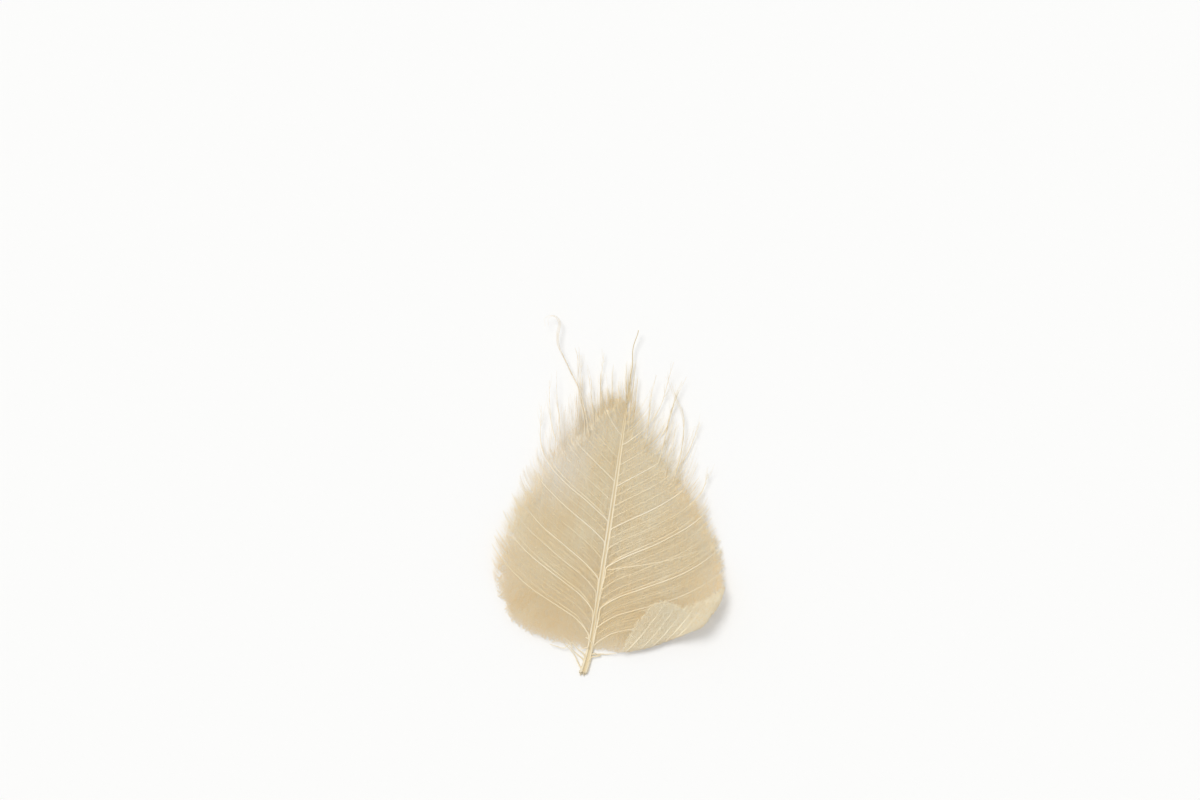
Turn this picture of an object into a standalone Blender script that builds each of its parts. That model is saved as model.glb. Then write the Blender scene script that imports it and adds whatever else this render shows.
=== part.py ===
"""A skeleton leaf: the bleached vein skeleton of one broad, pointed leaf, lying on a table.

The leaf lies along +Y in metres, with +Z up: the stalk is at the low end and the tip at the high end.
The origin is the leaf base, where the stalk meets the blade, on the midrib's flat underside.
The midrib with its stalk and tail is one solid. The veins of each side fork from it, and each side is one
more solid: a thin sheet where the net of fine veins is, with its lateral veins as ridges and its frayed
ends as strands. A gap of 0.3 mm keeps the three solids apart.
"""

import math
import random

import bmesh
import bpy
from mathutils import Vector

MM = 0.001

# Driving dimensions, in millimetres.
BLADE_LENGTH = 127.0
STALK_LENGTH = 13.0
TAIL_LENGTH = 24.0
GAP = 0.3
SHEET_HALF = 0.2
FLAT_LENGTH = 100.0  # of the midrib, which touches the table from the stalk's end to here
TIP_RISE = 5.0  # of the tail's end over the table
STALK_BEND = 1.4
TIP_BEND = 2.2

# The blade's outline on each side, from the end of its lowest row of veins up to the tip.
MARGIN = {
    "right": [(50, 16), (57.5, 36), (54.5, 56), (45, 73), (31.5, 88), (17.5, 103.5), (3.0, 120)],
    "left": [(45, 13), (52.5, 33), (51.5, 53), (45, 71), (34.5, 88), (20, 105.5), (3.0, 122)],
}
SIDE_SIGN = {"right": 1.0, "left": -1.0}

# Where the lateral veins leave the midrib, above the leaf base. The sides alternate.
MAIN_STATIONS = {
    "right": [1.5, 9.5, 18.5, 28, 38, 47.5, 56.5, 67.5, 77, 87, 96.5, 106],
    "left": [5.5, 17, 26, 32.5, 42, 50, 60, 69.5, 79, 90, 101],
}
TIP_STATION = 116.0  # where the uppermost row of veins leaves the midrib
STATION_CURVE = 1.55  # rows crowd together on the midrib near the leaf base
BARE_ROWS = 4  # of the sheet under its lowest vein, where its outline turns the corner
COLUMNS = 11

# Half width and ridge height of a vein over the sheet, each at the midrib and at the margin.
MAIN_VEIN = ((0.5, 0.28), (0.48, 0.22))
MINOR_VEIN = ((0.3, 0.2), (0.22, 0.12))
ROOT_SHARE = 0.65  # of the midrib's height, where the sheet's middle surface meets it
RIM_CLEARANCE = 0.3  # under the sheet at the lowest places of its margin
LOBE_RISE = 8.5  # of the right side's lowest lobe, which curls up off the table

STRAW = (0.62, 0.49, 0.31, 1.0)
CREAM = (0.76, 0.66, 0.46, 1.0)


def clear_scene():
    for old in list(bpy.data.objects):
        bpy.data.objects.remove(old)


def fibre_material(name, colour):
    material = bpy.data.materials.new(name)
    material.use_nodes = True
    shader = material.node_tree.nodes["Principled BSDF"]
    shader.inputs["Base Color"].default_value = colour
    shader.inputs["Roughness"].default_value = 0.7
    shader.inputs["Metallic"].default_value = 0.0
    return material


def smooth_step(value):
    clamped = min(1.0, max(0.0, value))
    return clamped * clamped * (3 - 2 * clamped)


def spline_through(points, share):
    """A point on the smooth curve through evenly spaced points, for a share from 0 to 1."""
    spans = len(points) - 1
    span = min(int(share * spans), spans - 1)
    u = share * spans - span
    before, start, end, after = (
        Vector(points[min(max(i, 0), spans)]) for i in range(span - 1, span + 3)
    )
    start_slope = (end - before) / 2
    end_slope = (after - start) / 2
    return (
        start * (2 * u**3 - 3 * u**2 + 1)
        + start_slope * (u**3 - 2 * u**2 + u)
        + end * (3 * u**2 - 2 * u**3)
        + end_slope * (u**3 - u**2)
    )


# The midrib: where it runs, how wide and how high it is.


def sway(y):
    """How far the midrib's line lies from straight at a height y: both its ends bend to the left."""
    if y < 0:
        return -STALK_BEND * (y / STALK_LENGTH) ** 2
    tail = max(0.0, y - BLADE_LENGTH)
    return -TIP_BEND * (y / BLADE_LENGTH) ** 2 + 0.9 * math.sin(tail * 0.33) * tail / TAIL_LENGTH


def midrib_rise(y):
    rise_length = BLADE_LENGTH + TAIL_LENGTH - FLAT_LENGTH
    return TIP_RISE * (max(0.0, y - FLAT_LENGTH) / rise_length) ** 2


def midrib_width(y):
    flare = 1.1 * smooth_step((8 - y) / 18)
    return max(0.42, 2.45 - 1.8 * y / BLADE_LENGTH + flare)


def midrib_height(y):
    return 0.45 + 0.38 * midrib_width(y)


# The blade: rows of veins that run from the midrib to the margin. A row is named by its share up the
# margin, from 0 at the lowest row to 1 at the tip, and a point on it by its share out from the midrib.


def station(row):
    return TIP_STATION * row**STATION_CURVE


def row_at(height):
    return (height / TIP_STATION) ** (1 / STATION_CURVE)


def leaving_angle(row):
    """Degrees between the midrib and a row where it leaves: steady, but wide open in the rounded base."""
    return 48 + 30 * (1 - row) ** 2 + 18 * (1 - smooth_step(row / 0.15))


def arriving_angle(row):
    """The same where the row meets the margin: veins bend forward, and more so in the rounded base."""
    return leaving_angle(row) * (0.34 + 0.26 * smooth_step(row / 0.2))


def heading(degrees):
    return Vector((math.sin(math.radians(degrees)), math.cos(math.radians(degrees))))


def plan(side, row, out):
    """Where a point of the blade lies, seen from above, with the sway of the midrib added."""
    y = station(row)
    start = Vector((midrib_width(y) / 2 + GAP, y))
    end = spline_through(MARGIN[side], row)
    reach = (end - start).length
    leaving = start + heading(leaving_angle(row)) * reach * 0.4
    arriving = end - heading(arriving_angle(row)) * reach * 0.3
    point = (
        start * (1 - out) ** 3
        + leaving * 3 * out * (1 - out) ** 2
        + arriving * 3 * out**2 * (1 - out)
        + end * out**3
    )
    return Vector((SIDE_SIGN[side] * point.x + sway(point.y), point.y))


def lift(side, row, out):
    """The height of the blade's middle surface: each half arches and comes down near its margin."""
    y = station(row)
    root = (midrib_rise(y) + midrib_height(y) * ROOT_SHARE) * (1 - out)
    rim = midrib_rise(plan(side, row, 1.0).y) + SHEET_HALF + RIM_CLEARANCE
    arch = (1.4 + 2.6 * math.sin(math.pi * (0.12 + 0.8 * row))) * math.sin(math.pi * out**0.9)
    phase = 0.35 if side == "right" else 0.0
    wave = 1.2 * (1 - math.cos(2 * math.pi * (2.1 * row + phase)))
    lobe = 0.0
    if side == "right":
        lobe = LOBE_RISE * smooth_step((out - 0.58) / 0.42) * smooth_step((0.36 - row) / 0.3)
    return root + (rim + wave) * out**2 + arch + lobe


def veins_of(side):
    """Each lateral vein's station and sizes: a minor vein runs between each two main ones, and to the tip."""
    mains = MAIN_STATIONS[side]
    minors = [(low + high) / 2 for low, high in zip(mains, mains[1:] + [TIP_STATION])]
    return sorted([(y, MAIN_VEIN) for y in mains] + [(y, MINOR_VEIN) for y in minors])


def strand_length(row, main, dice):
    """Free vein ends are stubs on the lower margin, and grow into long strands towards the tip."""
    if row < 0.5:
        return dice.uniform(1.2, 2.4)
    grown = 8 + 20 * smooth_step((row - 0.5) / 0.2)
    return grown * (dice.uniform(0.8, 1.1) if main else dice.uniform(0.35, 0.65))


class Sheet:
    """A thin solid: points with the reach of the solid above and below them, and the faces between."""

    def __init__(self):
        self.points = []
        self.faces = []

    def add(self, place, up, down):
        self.points.append((Vector(place), up, down))
        return len(self.points) - 1

    def strip(self, line, next_line):
        for a, b, c, d in zip(line, line[1:], next_line[1:], next_line):
            self.faces.append((a, b, c, d))

    def to_object(self, name, material):
        """Makes the closed solid: an upper and a lower skin, and a wall along each free edge."""
        a, b, c = (self.points[i][0] for i in self.faces[0][:3])
        if (b - a).cross(c - b).z < 0:
            self.faces = [face[::-1] for face in self.faces]
        body = bmesh.new()
        tops = [body.verts.new((p + Vector((0, 0, up))) * MM) for p, up, _ in self.points]
        lows = [body.verts.new((p - Vector((0, 0, down))) * MM) for p, _, down in self.points]
        edges = {(f[i], f[(i + 1) % len(f)]) for f in self.faces for i in range(len(f))}
        for face in self.faces:
            body.faces.new([tops[i] for i in face])
            body.faces.new([lows[i] for i in reversed(face)])
        for a, b in sorted(edges):
            if (b, a) not in edges:
                body.faces.new([lows[a], lows[b], tops[b], tops[a]])
        bmesh.ops.triangulate(body, faces=body.faces)
        mesh = bpy.data.meshes.new(name)
        body.to_mesh(mesh)
        body.free()
        mesh.materials.append(material)
        mesh.shade_smooth()
        mesh.set_sharp_from_angle(angle=math.radians(30))
        made = bpy.data.objects.new(name, mesh)
        bpy.context.scene.collection.objects.link(made)
        return made


def row_line(sheet, side, row, offset=(0.0, 0.0), ridge=(0.0, 0.0)):
    """Adds one line of points from midrib to margin.

    offset moves the line along the midrib, to a vein's edge, and ridge raises the skins over the sheet.
    Each is a pair of values, at the midrib and at the margin.
    """
    line = []
    for column in range(COLUMNS):
        out = column / (COLUMNS - 1)
        place = plan(side, row, out)
        place.y += offset[0] + (offset[1] - offset[0]) * out
        thick = SHEET_HALF + ridge[0] + (ridge[1] - ridge[0]) * out
        line.append(sheet.add((place.x, place.y, lift(side, row, out)), thick, thick))
    return line


def strand(sheet, side, row, ends, length, half_width, dice):
    """Adds the free end of a vein, which leaves the margin and bends towards the leaf's tip."""
    segments = max(1, round(length / 4.0))
    turn_from = arriving_angle(row)
    turn_to = 4 + 14 * (1 - row) + dice.uniform(-2.5, 2.5)
    bow = dice.uniform(-5, 5)
    rise = dice.uniform(0.3, 1.0) * 0.2 * length
    place = sheet.points[ends[1]][0].copy()
    start_z = place.z
    last = ends
    for step in range(1, segments + 1):
        share = step / segments
        degrees = turn_from + (turn_to - turn_from) * smooth_step(share * 1.8)
        degrees += bow * math.sin(math.pi * share)
        along = heading(degrees)
        place.x += SIDE_SIGN[side] * along.x * length / segments
        place.y += along.y * length / segments
        place.z = start_z + rise * share**2
        across = Vector((-SIDE_SIGN[side] * along.y, along.x, 0)) * half_width * (1 - 0.55 * share)
        line = [
            sheet.add(place - across, 0.12, 0.12),
            sheet.add(place, 0.26 - 0.1 * share, 0.2),
            sheet.add(place + across, 0.12, 0.12),
        ]
        sheet.strip(line, last)
        last = line


def blade_half(side, material):
    dice = random.Random(11 if side == "right" else 23)
    sheet = Sheet()
    veins = veins_of(side)
    last = row_line(sheet, side, 0.0)
    for bare in range(1, BARE_ROWS):
        line = row_line(sheet, side, row_at(veins[0][0]) * bare / BARE_ROWS)
        sheet.strip(last, line)
        last = line
    for height, vein in veins:
        row = row_at(height)
        half_widths, (root_ridge, rim_ridge) = vein
        ridge = (root_ridge * midrib_height(height) / midrib_height(0), rim_ridge)
        slant = 1 / math.sin(math.radians(leaving_angle(row)))
        to_edge = [half * slant for half in half_widths]
        low_edge = row_line(sheet, side, row, offset=[-half for half in to_edge])
        crest = row_line(sheet, side, row, ridge=ridge)
        high_edge = row_line(sheet, side, row, offset=to_edge)
        for line in (low_edge, crest, high_edge):
            sheet.strip(last, line)
            last = line
        ends = [low_edge[-1], crest[-1], high_edge[-1]]
        length = strand_length(row, vein is MAIN_VEIN, dice)
        strand(sheet, side, row, ends, length, half_widths[1], dice)
    sheet.strip(last, row_line(sheet, side, 1.0))
    return sheet.to_object(side + "_blade", material)


def midrib(material):
    """The stalk, midrib and tail: a tapering rib with a flat underside and a groove along its top."""
    profile = [
        (-0.3, 0.0), (0.3, 0.0), (0.5, 0.4), (0.42, 0.85), (0.24, 1.0),
        (0.0, 0.72), (-0.24, 1.0), (-0.42, 0.85), (-0.5, 0.4),
    ]  # fmt: skip
    steps = 34
    body = bmesh.new()
    rings = []
    for step in range(steps + 1):
        y = -STALK_LENGTH + (STALK_LENGTH + BLADE_LENGTH + TAIL_LENGTH) * step / steps
        width = midrib_width(y)
        height = midrib_height(y)
        base = midrib_rise(y)
        ring = [Vector((sway(y) + x * width, y, base + z * height)) * MM for x, z in profile]
        rings.append([body.verts.new(place) for place in ring])
    for low, high in zip(rings, rings[1:]):
        for i in range(len(profile)):
            j = (i + 1) % len(profile)
            body.faces.new([low[i], low[j], high[j], high[i]])
    body.faces.new(rings[0][::-1])
    body.faces.new(rings[-1])
    bmesh.ops.recalc_face_normals(body, faces=body.faces)
    mesh = bpy.data.meshes.new("midrib")
    body.to_mesh(mesh)
    body.free()
    mesh.materials.append(material)
    mesh.shade_smooth()
    mesh.set_sharp_from_angle(angle=math.radians(35))
    made = bpy.data.objects.new("midrib", mesh)
    bpy.context.scene.collection.objects.link(made)
    return made


clear_scene()
midrib(fibre_material("pale rib fibre", CREAM))
net_material = fibre_material("straw vein net", STRAW)
for each_side in ("left", "right"):
    blade_half(each_side, net_material)
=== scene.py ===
"""The looks of a skeleton leaf: the bleached vein skeleton of one broad, pointed leaf, lying on a table.

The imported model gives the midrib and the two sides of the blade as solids. Here the midrib is made again
with its groove and fibres, and each side as what it really is: lateral veins, a lace of fine veins
between them, and loose vein ends along the margin. The lowest lobe of the right side is turned over.
Lengths are in millimetres until a mesh is made.
"""

import math
import random
from functools import partial

import bpy
import numpy as np
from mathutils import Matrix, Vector, kdtree
from mathutils.geometry import delaunay_2d_cdt


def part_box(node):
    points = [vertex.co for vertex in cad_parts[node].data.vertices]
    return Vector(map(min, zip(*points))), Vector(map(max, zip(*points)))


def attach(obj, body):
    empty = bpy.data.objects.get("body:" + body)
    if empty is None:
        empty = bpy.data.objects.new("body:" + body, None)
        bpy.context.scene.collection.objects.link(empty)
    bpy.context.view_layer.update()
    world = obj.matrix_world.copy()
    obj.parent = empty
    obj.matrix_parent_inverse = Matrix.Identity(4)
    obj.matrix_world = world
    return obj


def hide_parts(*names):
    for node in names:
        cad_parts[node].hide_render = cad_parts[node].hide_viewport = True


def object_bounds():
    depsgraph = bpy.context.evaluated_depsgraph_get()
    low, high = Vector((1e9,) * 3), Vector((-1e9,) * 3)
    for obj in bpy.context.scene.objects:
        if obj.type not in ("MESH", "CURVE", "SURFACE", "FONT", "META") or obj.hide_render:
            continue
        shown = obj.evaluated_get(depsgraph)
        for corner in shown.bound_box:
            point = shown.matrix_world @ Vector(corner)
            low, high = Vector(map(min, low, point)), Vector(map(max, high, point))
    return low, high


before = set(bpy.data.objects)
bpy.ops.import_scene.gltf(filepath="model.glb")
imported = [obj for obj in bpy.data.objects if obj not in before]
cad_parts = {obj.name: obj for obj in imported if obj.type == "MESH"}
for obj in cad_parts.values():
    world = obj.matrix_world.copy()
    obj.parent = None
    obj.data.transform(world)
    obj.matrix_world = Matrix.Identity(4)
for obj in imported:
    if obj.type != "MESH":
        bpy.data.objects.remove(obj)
cad_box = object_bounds()

# ----------------------------------------------------------------------------------------------------
# The midrib, with the stalk below it and the tail above.
# It is a bundle of stiff, pale fibres that tapers from the cut stalk to a hair. It is flat below, and
# its two thick side strands leave a groove along the top. It lies on the table up to its upper third.

MM = 0.001
midrib_low, midrib_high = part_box("midrib")
STALK_LENGTH = -midrib_low.y / MM
TAIL_TOP = midrib_high.y / MM
BLADE_LENGTH = 127.0
TAIL_LENGTH = TAIL_TOP - BLADE_LENGTH
FLAT_LENGTH = 100.0
TIP_RISE = 5.0
STALK_BEND = 1.4
TIP_BEND = 2.2
TAIL_SWAY = 0.9
TAIL_WAVE = 0.33  # radians a millimetre
BASE_WIDTH = 2.45  # where the blade starts, without the flare of the stalk
WIDTH_LOST = 1.8  # from there to the blade's tip
TAIL_WIDTH = 0.42
STALK_FLARE = 1.1


def smooth_step(value):
    clamped = np.clip(value, 0.0, 1.0)
    return clamped * clamped * (3 - 2 * clamped)


def sway(y):
    """How far the midrib's line lies from straight at a height y: both its ends bend to the left."""
    stalk = STALK_BEND * (np.minimum(0.0, y) / STALK_LENGTH) ** 2
    body = TIP_BEND * (np.maximum(0.0, y) / BLADE_LENGTH) ** 2
    tail = np.maximum(0.0, y - BLADE_LENGTH)
    return TAIL_SWAY * np.sin(tail * TAIL_WAVE) * tail / TAIL_LENGTH - stalk - body


def midrib_rise(y):
    return TIP_RISE * (np.maximum(0.0, y - FLAT_LENGTH) / (TAIL_TOP - FLAT_LENGTH)) ** 2


def midrib_width(y):
    flare = STALK_FLARE * smooth_step((8 - y) / 18)
    return np.maximum(TAIL_WIDTH, BASE_WIDTH - WIDTH_LOST * y / BLADE_LENGTH + flare)


def midrib_height(y):
    return 0.45 + 0.38 * midrib_width(y)


def linear(hex_code):
    """An sRGB colour such as "#d5c2a1", as the linear red, green, blue and alpha that a shader takes."""
    parts = [int(hex_code[i : i + 2], 16) / 255 for i in (1, 3, 5)]
    return [c / 12.92 if c <= 0.04045 else ((c + 0.055) / 1.055) ** 2.4 for c in parts] + [1.0]


def add_node(tree, kind, inputs=None, **settings):
    """Adds a node. settings are its own fields; inputs gives a socket a value or the output that feeds it."""
    made = tree.nodes.new(kind)
    for field, value in settings.items():
        setattr(made, field, value)
    for socket, value in (inputs or {}).items():
        if isinstance(value, bpy.types.NodeSocket):
            tree.links.new(value, made.inputs[socket])
        else:
            made.inputs[socket].default_value = value
    return made


# The colour sockets of a Mix node, whose names it shares with its number and vector sockets.
MIX_A, MIX_B, MIX_RESULT = 6, 7, 2
# The near white of the painted highlight on the upper left side.
PAINTED_HIGHLIGHT = "#fff5e2"


def vein_fibre(name, thin, thick, deep, fibre_mm, roughness):
    """Bleached vein fibre: dry lignin and cellulose, like pale unvarnished cane, matte with a faint silk.

    A point's shade, from 0 for the finest veins to 1 for the thickest, takes it from the thin colour to
    the thick one. Patches and fibres of the deep colour run through both.
    """
    material = bpy.data.materials.new(name)
    material.use_nodes = True
    tree = material.node_tree
    shader = tree.nodes["Principled BSDF"]
    place = add_node(tree, "ShaderNodeTexCoord").outputs["Object"]
    shade = add_node(tree, "ShaderNodeAttribute", attribute_name="shade").outputs["Fac"]

    # How low, how high and how far left a point is: each grows to its most between two places.
    spot = add_node(tree, "ShaderNodeSeparateXYZ", {"Vector": place})
    lowness, upness, leftness = (
        add_node(
            tree,
            "ShaderNodeMapRange",
            {"Value": spot.outputs[axis], "From Min": first * MM, "From Max": last * MM, "To Max": most},
        ).outputs[0]
        for axis, first, last, most in (("Y", 75, 20, 0.26), ("Y", 58, 82, 0.95), ("X", -10, -28, 1.0))
    )

    # Patches about 24 mm wide, where the bleach took less, and more of them on the lower half.
    patches = add_node(
        tree,
        "ShaderNodeTexNoise",
        {"Vector": place, "Scale": 1 / (24 * MM), "Detail": 3.0, "Roughness": 0.6},
    )
    raised = add_node(
        tree, "ShaderNodeMath", {0: patches.outputs["Fac"], 1: lowness}, operation="ADD"
    )
    patch_share = add_node(
        tree,
        "ShaderNodeMapRange",
        {"Value": raised.outputs[0], "From Min": 0.45, "From Max": 1.05, "To Max": 0.9},
    )

    # Painted highlight: the upper left side is painted paler, towards a near white, as if glare lay on it.
    painted_highlight_share = add_node(tree, "ShaderNodeMath", {0: upness, 1: leftness}, operation="MULTIPLY")

    # Fibres along the leaf, thirty times as long as they are wide.
    stretched = add_node(tree, "ShaderNodeMapping", {"Vector": place, "Scale": (1.0, 1 / 30, 1.0)})
    fibres = add_node(
        tree,
        "ShaderNodeTexNoise",
        {"Vector": stretched.outputs[0], "Scale": 1 / (fibre_mm * MM), "Detail": 2.0},
    )
    fibre_share = add_node(
        tree,
        "ShaderNodeMapRange",
        {"Value": fibres.outputs["Fac"], "From Min": 0.42, "From Max": 0.7, "To Max": 0.45},
    )

    colour = linear(thin)
    for share, layer in (
        (shade, thick),
        (patch_share.outputs[0], deep),
        (painted_highlight_share.outputs[0], PAINTED_HIGHLIGHT),
        (fibre_share.outputs[0], deep),
    ):
        mixed = add_node(
            tree,
            "ShaderNodeMix",
            {"Factor": share, MIX_A: colour, MIX_B: linear(layer)},
            data_type="RGBA",
        )
        colour = mixed.outputs[MIX_RESULT]
    dryness = add_node(
        tree,
        "ShaderNodeMapRange",
        {"Value": fibres.outputs["Fac"], "To Min": roughness - 0.1, "To Max": roughness + 0.1},
    )
    relief = add_node(
        tree,
        "ShaderNodeBump",
        {"Height": fibres.outputs["Fac"], "Strength": 0.35, "Distance": 0.06 * MM},
    )
    tree.links.new(colour, shader.inputs["Base Color"])
    tree.links.new(dryness.outputs[0], shader.inputs["Roughness"])
    tree.links.new(relief.outputs[0], shader.inputs["Normal"])
    shader.inputs["IOR"].default_value = 1.53  # of cellulose
    return material


def leaf_piece(name, points, faces, shades, material):
    """Makes a mesh piece from points in millimetres, each with its shade, and a map seen from above."""
    mesh = bpy.data.meshes.new(name)
    mesh.from_pydata((np.asarray(points) * MM).tolist(), [], faces)
    mesh.attributes.new("shade", "FLOAT", "POINT").data.foreach_set("value", shades)
    low = points[:, :2].min(axis=0)
    span = np.ptp(points[:, :2], axis=0).max()
    corners = np.empty(len(mesh.loops), int)
    mesh.loops.foreach_get("vertex_index", corners)
    from_above = mesh.uv_layers.new(name="OFBake")
    from_above.data.foreach_set("uv", ((points[corners, :2] - low) / span).ravel())
    mesh.materials.append(material)
    mesh.shade_smooth()
    piece = bpy.data.objects.new(name, mesh)
    bpy.context.scene.collection.objects.link(piece)
    return piece


class Bundle:
    """Closed surfaces of vein fibre, mostly tapering tubes, collected to be made into one mesh."""

    def __init__(self):
        self.points, self.faces, self.shades, self.count = [], [], [], 0

    def add_surface(self, points, faces, shades):
        """Adds points, with the shade of each, and the faces between them, numbered from the first point."""
        self.points.append(np.asarray(points, float))
        self.faces += (np.array(face) + self.count for face in faces)
        self.shades.append(np.broadcast_to(shades, len(points)))
        self.count += len(points)

    def add(self, line, radii, shade, sides=4):
        """Adds a tube with pointed ends along a line of points. radii has one radius a point."""
        line = np.asarray(line, float)
        radii = np.asarray(radii, float)[:, None]
        along = np.gradient(line, axis=0)
        along /= np.linalg.norm(along, axis=1)[:, None]
        across = np.cross(along, (0.0, 0.0, 1.0))
        across /= np.linalg.norm(across, axis=1)[:, None]
        over = np.cross(across, along)
        turns = 2 * math.pi * np.arange(sides) / sides
        rings = [line + radii * (math.cos(turn) * across + math.sin(turn) * over) for turn in turns]
        ends = [line[0] - along[0] * radii[0], line[-1] + along[-1] * radii[-1]]
        low = sides * np.arange(len(line) - 1)
        start, top = sides * len(line), sides * (len(line) - 1)
        faces = []
        for i in range(sides):
            j = (i + 1) % sides
            faces += np.column_stack([low + i, low + sides + i, low + sides + j, low + j]).tolist()
            faces += [[start, i, j], [start + 1, top + j, top + i]]
        self.add_surface(np.vstack([np.stack(rings, axis=1).reshape(-1, 3), ends]), faces, shade)

    def piece(self, name, material):
        faces = [face.tolist() for face in self.faces]
        return leaf_piece(name, np.vstack(self.points), faces, np.concatenate(self.shades), material)


# The section has its places across in widths and up in heights: a crown from edge to edge, and then
# the flat underside. Two thick strands fill the crown's shoulders, and the groove lies between them.
RING_STEP = 0.5
CROWN_PLACES = 25
SHOULDER = 0.36  # how far up the crown starts at its edges
SPLINTERS = 44
SPLINTER_LENGTH = 1.0
STRANDS_FROM, STRANDS_TO = 30.0, 112.0  # heights between which the two thick strands stand out
SIDE_STRAND_RADIUS = (0.27, 0.15)
crown_across = 0.5 * np.cos(np.linspace(0.0, math.pi, CROWN_PLACES))
below_across = np.array([-0.36, -0.12, 0.12, 0.36])
flat = np.zeros(len(below_across))
section_across = np.concatenate([crown_across, below_across])
section_up = np.concatenate([SHOULDER + (1 - SHOULDER) * np.sqrt(1 - (2 * crown_across) ** 2), flat])
on_crown = np.concatenate([np.ones(CROWN_PLACES), flat])
places = len(section_across)

dice = np.random.default_rng(3)
phases = dice.uniform(0, 2 * math.pi, (3, places))
rings, ring_shades = [], []
for y in np.arange(SPLINTER_LENGTH - STALK_LENGTH, TAIL_TOP + RING_STEP / 2, RING_STEP):
    # The fibres stand out and sink again as they wander along the rib.
    fibre = 0.045 * np.sin(y * 0.23 + phases[0]) + 0.04 * np.sin(y * 0.61 + phases[1])
    fibre = (fibre + 0.02 * np.sin(y * 1.7 + phases[2])) * on_crown
    lower = smooth_step((BLADE_LENGTH - y) / 110)
    fibre = fibre * (0.35 + 0.65 * lower)
    groove = np.exp(-((section_across / (0.3 - 0.1 * lower)) ** 4)) * on_crown
    x = sway(y) + section_across * midrib_width(y) * (1 + fibre)
    height = section_up * (1 - (0.35 + 0.25 * lower) * groove) * (1 + fibre) * midrib_height(y)
    rings.append(np.column_stack([x, np.full(places, y), midrib_rise(y) + height]))
    # Painted shade: the groove is painted darker, down to the thin straw colour, and the fibres are paler
    # where they stand out.
    ring_shades.append(0.9 - 0.9 * groove + fibre * 2)
stalk_end = [sway(-STALK_LENGTH), rings[0][0, 1] + 0.4, 0.4 * midrib_height(-STALK_LENGTH)]
tail_end = [sway(TAIL_TOP), TAIL_TOP + 0.4, midrib_rise(TAIL_TOP) + 0.3 * midrib_height(TAIL_TOP)]
this, ahead = np.arange(places), np.roll(np.arange(places), -1)
faces = []
for low in range(0, places * (len(rings) - 1), places):
    faces += np.column_stack([low + this, low + places + this, low + places + ahead, low + ahead]).tolist()
last = places * (len(rings) - 1)
faces += [[last + places, i, j] for i, j in zip(this, ahead)]
faces += [[last + places + 1, last + j, last + i] for i, j in zip(this, ahead)]
midrib_fibres = Bundle()
midrib_fibres.add_surface(
    np.vstack(rings + [[stalk_end, tail_end]]), faces, np.concatenate(ring_shades + [[0.0, 0.8]])
)

# Above the middle of the leaf the two thick strands stand out from the sides of the rib.
strand_y = np.arange(STRANDS_FROM, STRANDS_TO, 1.0)
strand_share = smooth_step((strand_y - STRANDS_FROM) / 30)
for sign in (-1, 1):
    apart = midrib_width(strand_y) / 2 - 0.15 + 0.25 * strand_share
    up = midrib_rise(strand_y) + midrib_height(strand_y) * 0.72
    strand = np.column_stack([sway(strand_y) + sign * apart, strand_y, up])
    midrib_fibres.add(strand, np.linspace(*SIDE_STRAND_RADIUS, len(strand_y)), 0.95, 6)

# The stalk is broken off, so its fibres end at different heights.
chance = random.Random(5)
for _ in range(SPLINTERS):
    across, up = chance.uniform(-0.44, 0.44), chance.uniform(0.12, 0.62)
    foot = sway(-STALK_LENGTH) + across * midrib_width(-STALK_LENGTH)
    start = np.array([foot, rings[0][0, 1] + 0.8, up * midrib_height(-STALK_LENGTH)])
    reach = 0.9 + (0.5 + SPLINTER_LENGTH) * chance.random() ** 2
    end = start + (chance.uniform(-0.25, 0.25), -reach, chance.uniform(-0.25, 0.15))
    line = start + (end - start) * np.linspace(0, 1, 4)[:, None]
    midrib_fibres.add(line, np.linspace(chance.uniform(0.12, 0.24), 0.06, 4), chance.uniform(0.2, 0.9))

# Rib fibre is the palest, and its thin straw colour is painted into the groove as painted shade.
rib_fibre = vein_fibre("rib_fibre", "#c9b587", "#f9f2e0", "#ecdcb8", 0.25, 0.6)
midrib = midrib_fibres.piece("midrib_fibres", rib_fibre)
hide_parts("midrib")
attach(midrib, "root")

# ----------------------------------------------------------------------------------------------------
# The blade's surface, in which all the veins of a side lie.
# Rows of veins run from the midrib to the margin. A row is named by its share up the margin, and a
# point on it by its share out from the midrib. The surface arches, waves, and curls up to one fold.

# Points of the margin at even shares of its rows, from the corner of the base to the tip.
MARGIN = {
    "right": [(50.5, 19.5), (57.5, 36), (54.5, 56), (45, 73), (31.5, 88), (17.5, 103.5), (3.0, 120)],
    "left": [(45, 13), (52.5, 33), (51.5, 53), (45, 71), (34.5, 88), (20, 105.5), (3.0, 122)],
}
SIDE_SIGN = {"right": 1.0, "left": -1.0}
# The blade is frayed all round but for its fold: how wide the frayed band is inside the margin, and how
# much of the lace is lost at its outer edge, for rows from the base to the tip.
FRAYED_ROWS = [0.0, 0.12, 0.22, 0.35, 0.5, 0.65, 0.8, 0.9, 1.0]
FRAYED_BAND = {
    "right": [2.4, 3.0, 5.0, 7.0, 8.5, 10.0, 12.5, 16.5, 20.0],
    "left": [2.4, 3.5, 8.5, 11.5, 12.0, 12.0, 9.0, 5.5, 4.5],
}
EDGE_LOSS = {
    "right": [0.7, 0.7, 0.8, 0.8, 0.8, 0.85, 0.9, 0.95, 1.05],
    "left": [0.7, 0.8, 1.1, 1.05, 0.85, 0.65, 0.55, 0.6, 0.75],
}
TIP_STATION = 116.0
STATION_CURVE = 1.55
ROOT_SHARE = 0.65
ROOT_OVERLAP = 0.15  # of the blade into the midrib, which holds it
LEAVING_PULL, ARRIVING_PULL = 0.4, 0.3  # how far a row keeps its way at each end, as a share of it
RIM_HEIGHT = 0.5  # of the surface over the table at the lowest places of the margin
END_ARCH, MORE_ARCH = 1.4, 2.6  # of the blade at its ends, and how much more about its middle
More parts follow.
